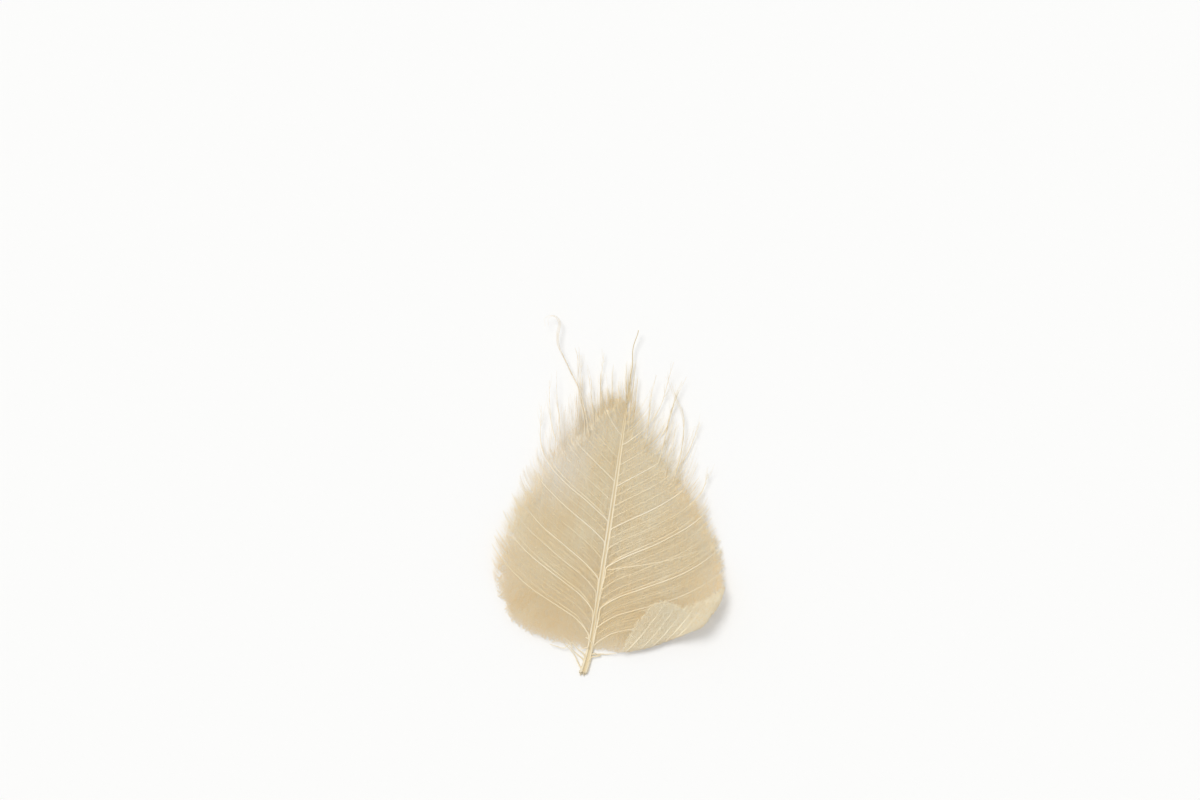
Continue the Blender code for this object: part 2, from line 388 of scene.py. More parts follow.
WAVE_RISE = 1.2
WAVES = 2.1  # along a margin
LOBE_RISE = 8.5
FOLD_TOP_ROW = 0.19  # up to which the right margin is turned over


def frayed_band(side, row):
    return np.interp(row, FRAYED_ROWS, FRAYED_BAND[side])


def edge_loss(side, row):
    return np.interp(row, FRAYED_ROWS, EDGE_LOSS[side])


def spline_through(points, share):
    """Points on the smooth curve through evenly spaced points, for shares from 0 to 1."""
    points = np.asarray(points, float)
    spans = len(points) - 1
    span = np.clip((share * spans).astype(int), 0, spans - 1)
    u = (share * spans - span)[..., None]
    before, start, end, after = (points[np.clip(span + i, 0, spans)] for i in (-1, 0, 1, 2))
    return (
        start * (2 * u**3 - 3 * u**2 + 1)
        + (end - before) / 2 * (u**3 - 2 * u**2 + u)
        + end * (3 * u**2 - 2 * u**3)
        + (after - start) / 2 * (u**3 - u**2)
    )


def station(row):
    return TIP_STATION * row**STATION_CURVE


def row_at(height):
    return (height / TIP_STATION) ** (1 / STATION_CURVE)


def leaving_angle(row):
    """Degrees between the midrib and a row where it leaves: steady, but wide open in the rounded base."""
    return 48 + 30 * (1 - row) ** 2 + 18 * (1 - smooth_step(row / 0.15))


def arriving_angle(side, row):
    """The same where the row meets the margin: veins bend forward, and most in the rounded left base.

    The base of the right side ends in its fold, which is nearly straight.
    """
    rounded = 0.26 * (1 - smooth_step(row / 0.2)) if side == "left" else 0.0
    return leaving_angle(row) * (0.6 - rounded)


def heading(degrees):
    return np.stack([np.sin(np.radians(degrees)), np.cos(np.radians(degrees))], axis=-1)


def plan(side, row, out):
    """Where points of the blade lie, seen from above, with the sway of the midrib added."""
    row, out = np.broadcast_arrays(row, out)
    y = station(row)
    start = np.stack([midrib_width(y) / 2 - ROOT_OVERLAP, y], axis=-1)
    end = spline_through(MARGIN[side], row)
    reach = np.linalg.norm(end - start, axis=-1)[..., None]
    leaving = start + heading(leaving_angle(row)) * reach * LEAVING_PULL
    arriving = end - heading(arriving_angle(side, row)) * reach * ARRIVING_PULL
    s = out[..., None]
    point = (
        start * (1 - s) ** 3
        + leaving * 3 * s * (1 - s) ** 2
        + arriving * 3 * s**2 * (1 - s)
        + end * s**3
    )
    return np.stack([SIDE_SIGN[side] * point[..., 0] + sway(point[..., 1]), point[..., 1]], axis=-1)


def lift(side, row, out):
    """The height of the blade over the table: it arches and comes down near its margin."""
    row, out = np.broadcast_arrays(row, out)
    y = station(row)
    root = (midrib_rise(y) + midrib_height(y) * ROOT_SHARE) * (1 - out)
    rim = midrib_rise(plan(side, row, np.ones(out.shape))[..., 1]) + RIM_HEIGHT
    inner = np.clip(out, 0.0, 1.0)
    arch = END_ARCH + MORE_ARCH * np.sin(math.pi * (0.12 + 0.8 * row))
    phase = 0.35 if side == "right" else 0.0
    wave = WAVE_RISE * (1 - np.cos(2 * math.pi * (WAVES * row + phase)))
    lobe = LOBE_RISE * smooth_step((out - 0.58) / 0.42) * smooth_step((0.36 - row) / 0.3)
    arched = root + (rim + wave) * out**2 + arch * np.sin(math.pi * inner**0.9)
    return arched + (lobe if side == "right" else 0.0)


def on_blade(side, row, out):
    return np.column_stack([plan(side, row, out), lift(side, row, out)])


# ----------------------------------------------------------------------------------------------------
# The lateral veins.
# Stout veins leave the midrib in turn to left and right, first running up beside it. Between them run
# minor veins, and finer ones that start and end in the lace. They end past the margin, broken off.

MAIN_STATIONS = {
    "right": [1.5, 9.5, 18.5, 28, 38, 47.5, 56.5, 67.5, 77, 87, 96.5, 106],
    "left": [5.5, 17, 26, 32.5, 42, 50, 60, 69.5, 79, 90, 101],
}
# The size of the veins that stand out, as a share of the usual one. The other main veins are slight.
BOLD = {
    "right": {1.5: 0.8, 9.5: 1.0, 18.5: 1.3, 38: 1.25, 56.5: 1.05, 77: 0.9, 96.5: 0.8},
    "left": {5.5: 1.2, 17: 1.2, 26: 0.85, 32.5: 1.25, 50: 1.1, 60: 1.1, 79: 0.95, 101: 0.8},
}
SLIGHT = 0.72
PAIRED = {"right": (18.5, 38), "left": (5.5, 17, 60)}  # with a thin vein running close beside them
FROM_BASE = 18.5  # the right vein that runs up beside the midrib all the way from the leaf base
LONG_ENDED = {"right": (47.5, 67.5, 87, 96.5), "left": (60, 69.5, 90, 101)}  # veins with long free ends
MAIN_RADIUS = (0.28, 0.13)  # at the midrib and at the margin
MINOR_RADIUS = (0.16, 0.1)
FINE_RADIUS = (0.11, 0.07)
BESIDE_RADIUS = (0.2, 0.11)
FLAT_RADIUS = (0.24, 0.1)
TORN_RADIUS = (0.36, 0.13)
LONG_END_RADIUS = (0.21, 0.07)
SIDE_HAIR_RADIUS = (0.06, 0.025)
SIDE_HAIRS = 9
VEIN_POINTS = 70
FINE_VEIN_POINTS = 46
VEIN_STEP = 0.75  # between the points of a vein
WORN_POINTS = 12  # over which a vein thins out before a worn end
WANDER = 0.0022  # of a vein from its row, as a share of the margin
FINE_WANDER = 0.0025
PAIR_GAP = (0.9, 2.3)  # between a paired vein and the one beside it, near the midrib and at the margin
SIDE_SEED = {"right": 11, "left": 23}  # for what growth and wear have left to chance

# Veins torn off at the leaf base, bent and lying free. Each is a line of points from where it is still
# held by the stalk.
TORN_VEINS = {
    "left": [
        [(-1.2, -5.0, 1.4), (-3.0, -2.7, 1.8), (-5.7, -1.2, 2.4), (-8.3, 1.3, 3.6), (-9.3, 1.2, 3.5),
         (-12.1, -1.8, 2.2), (-15.5, -1.7, 1.8), (-18.9, -1.1, 2.4)],
        [(-1.6, -11.0, 0.9), (-4.0, -8.3, 1.0), (-6.0, -5.2, 1.5), (-8.4, -2.6, 2.2), (-11.2, -0.4, 3.0),
         (-14.9, 2.6, 4.4)],
        [(-1.6, -6.2, 1.2), (-4.9, -4.0, 1.5), (-7.4, -2.5, 2.1), (-9.7, -0.4, 2.9)],
        [(-8.2, -1.0, 2.8), (-10.3, 1.7, 3.8), (-14.3, 3.7, 4.6)],
        [(-2.8, 4.6, 1.8), (-0.9, 3.9, 2.1), (0.8, 2.0, 2.0), (1.4, -0.6, 1.6)],
        [(-0.8, 0.4, 1.9), (-2.6, -0.4, 1.7), (-4.6, -1.1, 1.7)],
    ],
    "right": [
        [(0.2, -6.0, 1.2), (1.7, -3.9, 1.4), (5.3, -2.7, 1.2), (3.9, -2.2, 1.6), (2.4, -1.6, 1.8)],
        [(1.6, -2.6, 1.2), (5.4, -1.9, 1.0), (8.0, -1.6, 1.1), (12.4, -0.4, 1.8)],
    ],
}  # fmt: skip


def taper(sizes, steps, power=1.0):
    return sizes[0] + (sizes[1] - sizes[0]) * np.linspace(0.0, 1.0, steps) ** power


def softened(line):
    """The line with its corners rounded, and its ends where they were."""
    return np.vstack([line[:1], (line[:-2] + 2 * line[1:-1] + line[2:]) / 4, line[-1:]])


def veins_of(side):
    """Each lateral vein's station, and whether it is a main one."""
    mains = MAIN_STATIONS[side]
    minors = [(low + high) / 2 for low, high in zip(mains, mains[1:] + [TIP_STATION])]
    return sorted([(y, True) for y in mains] + [(y, False) for y in minors])


def strand_length(row, main, dice):
    """Free vein ends are stubs on the lower margin, and grow into long strands towards the tip."""
    if row < 0.5:
        return dice.uniform(1.2, 2.4)
    grown = 8 + 20 * smooth_step((row - 0.5) / 0.2)
    return grown * (dice.uniform(0.8, 1.1) if main else dice.uniform(0.35, 0.65))


def strand_line(side, row, length, dice):
    """The line of a vein's free end, which leaves the margin and bends towards the leaf's tip."""
    steps = 14
    turn_from = arriving_angle(side, row)
    turn_to = 4 + 14 * (1 - row) + dice.uniform(-2.5, 2.5)
    bow = dice.uniform(-5, 5)
    rise = dice.uniform(0.3, 1.0) * 0.2 * length
    share = np.arange(1, steps + 1) / steps
    degrees = turn_from + (turn_to - turn_from) * smooth_step(share * 1.8)
    moved = heading(degrees + bow * np.sin(math.pi * share)) * length / steps
    line = np.cumsum(moved, axis=0) * (SIDE_SIGN[side], 1.0)
    foot = on_blade(side, np.array([row]), np.array([1.0]))[0]
    return foot + np.column_stack([line, rise * share**2])


def side_hairs(bundle, line, dice):
    """Adds short hairs that leave a free vein end at a narrow angle."""
    for _ in range(SIDE_HAIRS):
        root = dice.randrange(len(line) // 3, len(line) - 2)
        ahead = line[root + 1] - line[root]
        ahead = ahead / np.linalg.norm(ahead)
        turn = math.radians(dice.choice((-1, 1)) * dice.uniform(16, 34))
        cosine, sine = math.cos(turn), math.sin(turn)
        x, y, z = ahead
        turned = np.array([x * cosine - y * sine, x * sine + y * cosine, z])
        share = np.linspace(0, 1, 6)[:, None]
        size = dice.uniform(2.5, 8)
        hair = line[root] + size * (turned * share * (1 - share / 2) + ahead * share**2 / 2)
        bundle.add(hair, taper(SIDE_HAIR_RADIUS, 6), 0.5, 3)


def vein_row(side, height, out):
    """A vein's row all along it: low veins leave the midrib in a hook before they open out."""
    low = 1 - smooth_step((height - 35) / 25)
    hook = np.maximum(4.6 - height / 11, 1.2) * (1 - (1 - np.clip(out / 0.16, 0, 1)) ** 2)
    climb = {"left": 2.2, "right": 1.2}[side] * out
    return row_at(height + (hook + climb) * low)


def beside_midrib(side, height, length, apart):
    """The stretch of a vein that runs up along the midrib, and apart from it, before the vein leaves."""
    y = np.arange(max(height - length, 2 - STALK_LENGTH), height - 0.4, 0.5)
    gap = apart * smooth_step(np.linspace(0, 1.2, len(y))) - 0.1
    x = SIDE_SIGN[side] * (midrib_width(y) / 2 + gap) + sway(y)
    return np.column_stack([x, y, midrib_rise(y) + 0.7 * midrib_height(y)])


# Lateral fibre is creamier than the rib's, and palest in the stoutest veins.
lateral_fibre = vein_fibre("lateral_fibre", "#f4e4bd", "#fbf4e2", "#efd9a8", 0.3, 0.65)
for side in ("left", "right"):
    chance = random.Random(SIDE_SEED[side])
    more_chance = random.Random(SIDE_SEED[side] + 50)
    wobble = np.random.default_rng(SIDE_SEED[side])
    veins = Bundle()
    for height, main in veins_of(side):
        bold = BOLD[side].get(height, SLIGHT if main else 1.0)
        radius = np.array(MAIN_RADIUS if main else MINOR_RADIUS) * bold
        out = np.linspace(0.008, 1.0, VEIN_POINTS)
        wander = np.sin(out * wobble.uniform(9, 16) + wobble.uniform(0, 6)) * np.sin(math.pi * out)
        rows = vein_row(side, height, out)
        rows = rows + WANDER * (1 - rows) * wander
        row = rows[-1]
        strand = strand_line(side, row, strand_length(row_at(height), main, chance), chance)
        line = np.vstack([on_blade(side, rows, out), strand])
        if height in LONG_ENDED[side]:
            side_hairs(veins, strand, more_chance)
            radii = np.concatenate(
                [taper(radius, VEIN_POINTS, 0.8), taper(LONG_END_RADIUS, len(strand))]
            )
        else:
            # The others are worn off within the frayed band or a little way out of it, or end at the fold.
            worn = wobble.uniform(-3, 0.8 * frayed_band(side, row) * edge_loss(side, row))
            if side == "right" and row < FOLD_TOP_ROW:
                worn = 0
            line = line[: VEIN_POINTS - round(worn / VEIN_STEP)]
            radii = taper(radius, len(line), 0.8)
            radii[-WORN_POINTS:] *= np.linspace(1, 0.4, WORN_POINTS)
        if main:
            stout = side == "right" and height in PAIRED[side]
            length = height - 1.5 if height == FROM_BASE else wobble.uniform(3, 7) + 5 * stout
            length *= 1 - smooth_step((height - 40) / 30)
            lead = beside_midrib(side, height, length, 0.65 if stout else 0.2)
            line = np.vstack([lead, line])
            radii = np.concatenate([np.linspace(0.42 if stout else 0.12, radius[0], len(lead)), radii])
        veins.add(softened(line), radii, 1.0 if bold > SLIGHT and main else 0.55, 6 if main else 4)
        if height in PAIRED[side]:
            gap = taper(PAIR_GAP, VEIN_POINTS) * smooth_step(out / 0.1)
            beside = vein_row(side, height, out) + row_at(height + 2) - row_at(height + 2 - gap)
            veins.add(on_blade(side, beside, out), taper(BESIDE_RADIUS, VEIN_POINTS), 0.9)
    # The second vein from the same place as the bold one half way up the right side lies flatter.
    if side == "right":
        out = np.linspace(0.02, 0.75, 60)
        beside = row_at(37.2 - 9.5 * np.sin(math.pi / 2 * out) ** 0.9)
        veins.add(on_blade(side, beside, out), taper(FLAT_RADIUS, len(out)), 0.9)
    heights = [height for height, _ in veins_of(side)]
    for low, high in zip(heights, heights[1:] + [TIP_STATION - 2]):
        for share in (0.3, 0.68):
            height = low + (high - low) * (share + wobble.uniform(-0.08, 0.08))
            ends = wobble.uniform(0.0, 0.2), wobble.uniform(0.75, 0.96)
            out = np.linspace(*ends, FINE_VEIN_POINTS)
            wander = np.sin(out * wobble.uniform(12, 22) + wobble.uniform(0, 6))
            rows = vein_row(side, height, out)
            line = on_blade(side, rows + FINE_WANDER * (1 - rows) * wander, out)
            veins.add(line, taper(FINE_RADIUS, FINE_VEIN_POINTS), 0.4)
    for torn in TORN_VEINS[side]:
        share = np.linspace(0, 1, 8 * len(torn))
        line = spline_through(torn, share)
        line[1:-1] += wobble.normal(0, 0.035, line[1:-1].shape)
        veins.add(line, taper(TORN_RADIUS, len(line), 0.8), wobble.uniform(0.9, 1.0), 6)
    piece = veins.piece(f"{side}_veins", lateral_fibre)
    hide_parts(f"{side}_blade")
    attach(piece, "root")

# ----------------------------------------------------------------------------------------------------
# The lace between the lateral veins.
# Fine veins join up in a net of small irregular meshes, held in coarser meshes of thicker veins. It is
# all of one piece with the lateral veins, and frays out at the margin, most of all near the tip.

MESH_PITCH = 0.57  # real meshes are about 0.4 mm apart, which is too fine to show
MIDDLE_PITCH = 1.45
CROSS_PITCH = 3.1
LONGEST_SPAN = 2.4 * MESH_PITCH  # between meshes that are neighbours
PAST_MARGIN = 0.3  # how far past the margin a mesh may have its middle
# Three levels of veins: fine ones, those round a few meshes, and cross veins. The fine ones are drawn
# wider than real ones, as the meshes are. The crest is over the blade's surface, the depth below it.
HALF_WIDTHS = np.array([0.116, 0.145, 0.19])
CREST = np.array([0.05, 0.08, 0.13])
DEPTH = np.array([0.03, 0.04, 0.06])
LEVEL_SHADE = np.array([0.0, 0.35, 0.85])
CORNER_LOSS = {"right": 3.5, "left": 5.0}  # how far from the base's corners the lace is rounded off


def lattice(low, high, pitch, dice):
    """Points about a pitch apart over a rectangle, in rows that are then moved at random."""
    rows = np.arange(low[1], high[1], pitch * math.sqrt(3) / 2)
    columns = np.arange(low[0], high[0], pitch)
    x = columns[None, :] + np.where(np.arange(len(rows)) % 2, pitch / 2, 0.0)[:, None]
    y = np.broadcast_to(rows[:, None], x.shape)
    spots = np.stack([x, y], axis=-1).reshape(-1, 2)
    return spots + dice.uniform(-0.36, 0.36, spots.shape) * pitch


def tree_of(spots):
    tree = kdtree.KDTree(len(spots))
    for i, (x, y) in enumerate(spots):
        tree.insert((x, y, 0.0), i)
    tree.balance()
    return tree


def nearest(tree, spots):
    """The number of the nearest point in the tree to each spot, and how far it is."""
    found = [tree.find((x, y, 0.0)) for x, y in spots]
    return np.array([f[1] for f in found]), np.array([f[2] for f in found])


def rows_under(side, spots):
    """The row and the share out of each spot, and how far the spot is from the blade."""
    rows, outs = (a.ravel() for a in np.meshgrid(np.linspace(0, 1, 500), np.linspace(0, 1, 200)))
    number, gap = nearest(tree_of(plan(side, rows, outs)), spots)
    row, out = rows[number], outs[number]
    # Two Newton steps go from the nearest place of the grid to the spot, but not where rows run together.
    step = 1e-4
    for _ in range(2):
        here = plan(side, row, out)
        by_row = (plan(side, row + step, out) - here) / step
        by_out = (plan(side, row, out + step) - here) / step
        miss = spots - here
        turn = by_row[:, 0] * by_out[:, 1] - by_row[:, 1] * by_out[:, 0]
        turn = np.where(np.abs(turn) > 50, turn, np.inf)
        row = row + (miss[:, 0] * by_out[:, 1] - miss[:, 1] * by_out[:, 0]) / turn
        out = out + (by_row[:, 0] * miss[:, 1] - by_row[:, 1] * miss[:, 0]) / turn
        row, out = np.clip(row, 0.0, 1.0), np.clip(out, 0.0, 1.0)
    return row, out, gap


def edge_distance(side, spots):
    """How far each spot is from the free edge of the blade."""
    share = np.linspace(0, 1, 700)
    edge = np.vstack([plan(side, np.zeros(700), share), plan(side, share, np.ones(700))])
    return nearest(tree_of(edge), spots)[1]


def cross_spots(side, dice):
    """The middles of the coarse meshes: two lines of them between each two lateral veins."""
    rows = [0.0] + [row_at(height) for height, _ in veins_of(side)] + [1.0]
    spots = []
    for low, high in zip(rows, rows[1:]):
        for share in (0.25, 0.75):
            row = low + (high - low) * share
            ends = plan(side, np.full(2, row), np.array([0.0, 1.0]))
            count = max(2, round(np.linalg.norm(ends[1] - ends[0]) / CROSS_PITCH))
            out = (np.arange(count) + 0.5 + dice.uniform(-0.28, 0.28, count)) / count
            spots.append(plan(side, np.full(count, row), out))
    return np.vstack(spots)


def joined_to_most(first, second, count):
    """Which of count points are joined, by links from first to second, to the largest group of them."""
    label = np.arange(count)
    while True:
        lower = np.minimum(label[first], label[second])
        after = label.copy()
        np.minimum.at(after, first, lower)
        np.minimum.at(after, second, lower)
        after = after[after]
        if (after == label).all():
            return label == np.bincount(label[first]).argmax()
        label = after


def next_of(edge):
    """The number of the next edge round the same triangle."""
    return edge - edge % 3 + (edge % 3 + 1) % 3


def lace_mesh(tops, corners, links, top_shade, corner_shade):
    """The closed mesh of a lace. A link is a pair of edge numbers, one from each triangle that it joins.

    Each node has a crest point and three corners. A link is a ridge of two roof faces and one below, and
    a node closes below and on each side where no link leaves it.
    """
    first, second = links
    count = len(tops)
    a, b = first // 3, second // 3
    near_a, past_a = count + first, count + next_of(first)
    near_b, past_b = count + second, count + next_of(second)
    quads = np.vstack(
        [
            np.column_stack([near_a, past_b, b, a]),
            np.column_stack([a, b, near_b, past_a]),
            np.column_stack([near_a, past_a, near_b, past_b]),
        ]
    )
    nodes = np.unique(np.concatenate([a, b]))
    linked = np.zeros(3 * count, bool)
    linked[first] = linked[second] = True
    open_edges = np.array([3 * n + k for n in nodes for k in range(3) if not linked[3 * n + k]])
    triangles = np.vstack(
        [
            count + 3 * nodes[:, None] + np.array([[0, 2, 1]]),
            np.column_stack([open_edges // 3, count + open_edges, count + next_of(open_edges)]),
        ]
    )
    points = np.vstack([tops, corners])
    shades = np.concatenate([top_shade, corner_shade])
    kept, renumbered = np.unique(np.concatenate([quads.ravel(), triangles.ravel()]), return_inverse=True)
    quads = renumbered[: quads.size].reshape(-1, 4)
    triangles = renumbered[quads.size :].reshape(-1, 3)
    return points[kept], quads.tolist() + triangles.tolist(), shades[kept]


# The line along which the lowest lobe of the right side is turned over, from near the midrib.
FOLD = np.vstack(
    [
        plan("right", np.zeros(200), np.linspace(0.2, 1.0, 200)),
        plan("right", np.linspace(0.002, FOLD_TOP_ROW, 80), np.ones(80)),
    ]
)


def blade_wear(side, nodes):
    """The share of the veins that is lost at each node, and how much thinner the others are."""
    # Veins are missing where the edge is frayed: in a narrow band below, and in a wide one near the tip.
    # The band is torn in slits along the rows, and the midrib and the fold hold on to all their veins.
    row, out, _ = rows_under(side, nodes)
    from_edge = edge_distance(side, nodes)
    fray = frayed_band(side, row)
    slit = np.sin(row * 230 + 2 * np.sin(row * 57) + 3 * out)
    loss = np.clip(1 - from_edge / fray, 0, 1) ** 1.15 * (1.17 + 0.18 * slit) * edge_loss(side, row)
    corner = plan(side, np.array([0.0]), np.array([1.0]))[0]
    from_corner = np.linalg.norm(nodes - corner, axis=1)
    loss = np.maximum(loss, 1.2 * np.clip(1 - from_corner / CORNER_LOSS[side], 0, 1))
    loss = loss * np.where(out < 0.06, 0.0, 1.0)
    if side == "right":
        loss = loss * smooth_step((nearest(tree_of(FOLD), nodes)[1] - 1.0) / 2)
    # The others are thinner near the edge, on the upper left side, and towards the tip.
    upper_left = smooth_step((-nodes[:, 0] - 10) / 18) * smooth_step((nodes[:, 1] - 58) / 24)
    thinner = (1 - 0.4 * np.clip(1 - from_edge / (2 * fray), 0, 1)) * (1 - 0.27 * upper_left)
    return loss, thinner * (1 - 0.16 * smooth_step((nodes[:, 1] - 90) / 15))


def blade_height(side, spots):
    row, out, _ = rows_under(side, spots)
    return lift(side, row, out)


def lace(sites, cross, middle, wear, height_of, dice):
    """A net of veins whose meshes lie about the sites: its crest points, corners, links and shades.

    cross and middle number the coarse meshes that each site is in. wear and height_of are functions of
    spots on the leaf.
    """
    # The nodes of the net are the middles of the triangles between neighbouring meshes.
    triangles = np.array(
        delaunay_2d_cdt([Vector(spot) for spot in sites], [], [], 0, 1e-6)[2], dtype=int
    )
    sides = np.roll(sites[triangles], -1, axis=1) - sites[triangles]
    near = np.linalg.norm(sides, axis=2).max(axis=1) < LONGEST_SPAN
    triangles, sides = triangles[near], sides[near]
    clockwise = sides[:, 0, 0] * sides[:, 1, 1] < sides[:, 0, 1] * sides[:, 1, 0]
    triangles[clockwise] = triangles[clockwise][:, ::-1]
    nodes = sites[triangles].mean(axis=1)

    # Two triangles with an edge in common are linked by a vein, which parts two meshes.
    starts = triangles.ravel()
    ends = np.roll(triangles, -1, axis=1).ravel()
    keys = np.minimum(starts, ends) * len(sites) + np.maximum(starts, ends)
    order = np.argsort(keys, kind="stable")
    paired = keys[order][1:] == keys[order][:-1]
    first, second = order[:-1][paired], order[1:][paired]
    level = np.where(middle[starts[first]] != middle[ends[first]], 1, 0)
    level = np.where(cross[starts[first]] != cross[ends[first]], 2, level)
    loss, thinner = wear(nodes)
    link_loss = (loss[first // 3] + loss[second // 3]) / 2 * np.array([1.1, 0.85, 0.6])[level]
    stays = dice.uniform(0, 1, len(first)) > link_loss
    first, second, level = first[stays], second[stays], level[stays]
    whole = joined_to_most(first // 3, second // 3, len(nodes))[first // 3]
    first, second, level = first[whole], second[whole], level[whole]

    half = HALF_WIDTHS[level] * dice.uniform(0.85, 1.15, len(level))
    half_at = np.full(3 * len(nodes), HALF_WIDTHS[0])
    half_at[first] = half_at[second] = half
    level_at = np.zeros(3 * len(nodes), int)
    level_at[first] = level_at[second] = level
    level_at = level_at.reshape(-1, 3)
    before_at = np.roll(level_at, 1, axis=1)
    half_at = half_at.reshape(-1, 3)
    inset = 1.15 * (half_at + np.roll(half_at, 1, axis=1)) / 2 * thinner[:, None]
    to_mesh = sites[triangles] - nodes[:, None]
    reach = np.linalg.norm(to_mesh, axis=2)
    corner_spots = nodes[:, None] + to_mesh * (np.minimum(inset, 0.7 * reach) / reach)[..., None]
    corner_spots = corner_spots.reshape(-1, 2)
    crest = CREST[level_at.max(axis=1)] * thinner
    depth = DEPTH[np.maximum(level_at, before_at)] * thinner[:, None]
    tops = np.column_stack([nodes, height_of(nodes) + crest])
    corners = np.column_stack([corner_spots, height_of(corner_spots) - depth.ravel()])
    top_shade = LEVEL_SHADE[level_at].mean(axis=1)
    # Painted shade: the corners, low on the veins' sides, are painted a little darker than the crests.
    corner_shade = (LEVEL_SHADE[level_at] + LEVEL_SHADE[before_at]).ravel() / 2 * 0.8
    return tops, corners, (first, second), top_shade, corner_shade


# Net fibre is the warmest and the most matte: in such fine veins it looks like pale straw.
net_fibre = vein_fibre("net_fibre", "#fbe8bc", "#fdf3d8", "#f3d296", 0.5, 0.7)
for side in ("left", "right"):
    dice = np.random.default_rng(SIDE_SEED[side] + 100)
    low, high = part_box(f"{side}_blade")
    low, high = np.array(low)[:2] / MM - 1, np.array(high)[:2] / MM + 1
    sites = lattice(low, high, MESH_PITCH, dice)
    sites = sites[rows_under(side, sites)[2] < PAST_MARGIN]
    cross = nearest(tree_of(cross_spots(side, dice)), sites)[0]
    middle = nearest(tree_of(lattice(low, high, MIDDLE_PITCH, dice)), sites)[0]
    tops, corners, (first, second), top_shade, corner_shade = lace(
        sites, cross, middle, partial(blade_wear, side), partial(blade_height, side), dice
    )
    # The lace is two pieces a side, so that neither is too large a mesh.
    link_height = tops[first // 3][:, 1]
    lower = link_height < np.median(link_height)
    for part, chosen in (("lower", lower), ("upper", ~lower)):
        points, faces, shades = lace_mesh(
            tops, corners, (first[chosen], second[chosen]), top_shade, corner_shade
        )
        piece = leaf_piece(f"{side}_net_{part}", points, faces, shades, net_fibre)
        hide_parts(f"{side}_blade")
        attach(piece, "root")

# ----------------------------------------------------------------------------------------------------
# The lobe turned over at the base of the right side.
# The lowest lobe is folded up along the leaf's base and lies loosely on the blade, with its veins and
# its worn rim upwards. It is one more layer of the same lace.

FOLD_WAY = np.array([0.835, 0.55])  # the way of the fold, from the midrib to the margin
FOLD_IN = np.array([-0.55, 0.835])  # and from the fold in over the blade
# The lobe's rim as it lies, from the fold near the midrib round to the margin.
LOBE_RIM = np.array(
    [(14.6, -0.6), (14.9, 5.0), (16.6, 11.5), (20.2, 19.5), (24.2, 26.0), (28.4, 28.6), (33.6, 28.6),
     (39.4, 27.6), (45.4, 31.0), (50.8, 35.2), (55.0, 38.4), (57.2, 39.4)]
)  # fmt: skip
LOBE_FRAY = 2.2  # how wide the frayed band is inside that rim
LOBE_VEIN_WAY = np.array([0.593, 0.805])
LOBE_VEIN_BEND = np.array([-0.0036, 0.0024])
LOBE_VEIN_STARTS = (14.5, 21.0, 27.0, 33.0, 39.0)  # along the fold
LOBE_VEIN_RADIUS = (0.24, 0.09)


def on_lobe(spots):
    """How far each spot is in from the fold, and how far the lobe reaches there."""
    along = spots @ FOLD_WAY
    fold_in = np.interp(along, FOLD @ FOLD_WAY, FOLD @ FOLD_IN)
    share = np.interp(along, LOBE_RIM @ FOLD_WAY, np.linspace(0, 1, len(LOBE_RIM)))
    rim_in = spline_through(LOBE_RIM @ FOLD_IN[:, None], share)[:, 0]
    return spots @ FOLD_IN - fold_in, rim_in - fold_in


def lobe_wear(nodes):
    inward, reach = on_lobe(nodes)
    worn = np.clip(1 - (reach - inward) / LOBE_FRAY, 0, 1)
    return 0.9 * worn, 1.35 - 0.6 * worn


def lobe_height(spots):
    """Over the blade: the fold is round, and past it the lobe sinks before its rim rises again."""
    inward, reach = on_lobe(spots)
    round_fold = 1.5 * smooth_step(inward / 2.5) * (1 - 0.5 * smooth_step((inward - 3) / 8))
    rim = 1.3 * smooth_step(1 - (reach - inward) / 7)
    return blade_height("right", spots) + 0.1 + round_fold + rim


# Its underside is turned up. Its fibre is a paler copy of the net fibre: painted light, so that the lobe
# looks lit and the shade between its doubled layers is lifted. The doubled lace lets less through.
turned_painted_light_fibre = vein_fibre("turned_painted_light_fibre", "#fff7da", "#fffbea", "#ffecc6", 0.5, 0.7)
dice = np.random.default_rng(41)
low, high = FOLD.min(axis=0) - 1, LOBE_RIM.max(axis=0) + 1
sites = lattice(low, high, MESH_PITCH, dice)
inward, reach = on_lobe(sites)
sites = sites[(inward > 0.0) & (inward < reach)]
cross, middle = (
    nearest(tree_of(lattice(low, high, pitch, dice)), sites)[0] for pitch in (CROSS_PITCH, MIDDLE_PITCH)
)
points, faces, shades = lace_mesh(*lace(sites, cross, middle, lobe_wear, lobe_height, dice))
piece = leaf_piece("right_turned_lobe_net", points, faces, shades, turned_painted_light_fibre)
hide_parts("right_blade")
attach(piece, "root")

lobe_veins = Bundle()
for place in LOBE_VEIN_STARTS:
    start = [np.interp(place, FOLD @ FOLD_WAY, FOLD[:, k]) for k in range(2)]
    steps = np.arange(0.0, 30.0, VEIN_STEP)[:, None]
    spots = start + steps * LOBE_VEIN_WAY + steps**2 * LOBE_VEIN_BEND
    inward, reach = on_lobe(spots)
    spots = spots[(inward > 0.1) & (inward < reach - 0.5)]
    line = np.column_stack([spots, lobe_height(spots) + 0.08])
    radii = taper(LOBE_VEIN_RADIUS, len(line))
    radii[0] *= 0.5
    lobe_veins.add(line, radii, 0.9)
piece = lobe_veins.piece("right_turned_lobe_veins", turned_painted_light_fibre)
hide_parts("right_blade")
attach(piece, "root")

# ----------------------------------------------------------------------------------------------------
# The fringe of loose vein ends.
# Where the margin has worn away its veins stand free, as short fuzz round the base and as longer hairs
# higher up. At the tip they run side by side as the teeth of a comb, and a few long strands pass them.

